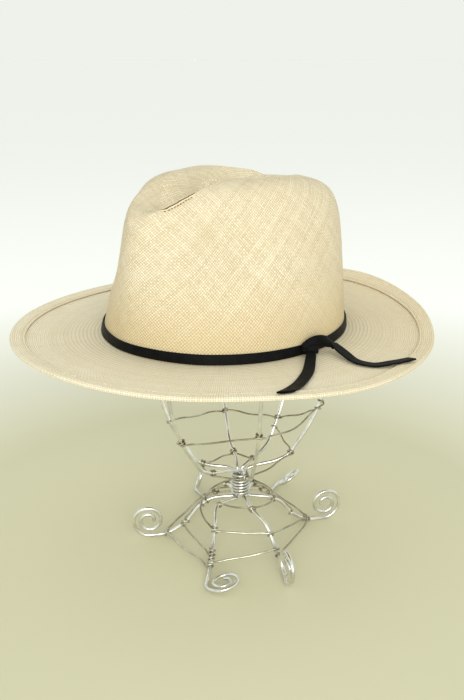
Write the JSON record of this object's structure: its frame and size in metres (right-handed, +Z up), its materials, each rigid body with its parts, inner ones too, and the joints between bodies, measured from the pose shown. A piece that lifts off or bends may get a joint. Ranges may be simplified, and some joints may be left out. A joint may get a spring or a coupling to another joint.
{
  "type": "wide-brim straw hat on a wire stand",
  "caption": "Woven straw hat with a wide turned-up brim, creased and pinched crown and a knotted leather band, on a bent-wire stand with spiral feet.",
  "frame": {"origin": "on the floor under the middle of the brim's box", "axes": "+Z up, the hat faces -Y, the wearer's left is +X"},
  "size_m": [0.3086, 0.3271, 0.2989],
  "materials": {
    "straw": "matt woven straw, natural cream",
    "strap": "smooth near-black leather, slight sheen",
    "wire": "bright drawn wire"
  },
  "bodies": {
    "root": {"back_tail": "strap", "band": "strap", "base_lower_back": "wire", "base_lower_back_left": "wire", "base_lower_back_right": "wire", "base_lower_front": "wire", "base_lower_front_left": "wire", "base_lower_front_right": "wire", "base_middle_back": "wire", "base_middle_back_left": "wire", "base_middle_back_right": "wire", "base_middle_front": "wire", "base_middle_front_left": "wire", "base_middle_front_right": "wire", "base_upper_back": "wire", "base_upper_back_left": "wire", "base_upper_back_right": "wire", "base_upper_front": "wire", "base_upper_front_left": "wire", "base_upper_front_right": "wire", "basket_lower_back": "wire", "basket_lower_back_left": "wire", "basket_lower_back_right": "wire", "basket_lower_front": "wire", "basket_lower_front_left": "wire", "basket_lower_front_right": "wire", "basket_upper_back": "wire", "basket_upper_back_left": "wire", "basket_upper_back_right": "wire", "basket_upper_front": "wire", "basket_upper_front_left": "wire", "basket_upper_front_right": "wire", "front_tail": "strap", "knot": "strap", "stand_wire_back": "wire", "stand_wire_back_left": "wire", "stand_wire_back_right": "wire", "stand_wire_front": "wire", "stand_wire_front_left": "wire", "stand_wire_front_right": "wire", "straw_body": "straw", "waist_coil": "wire"}
  },
  "joints": []
}
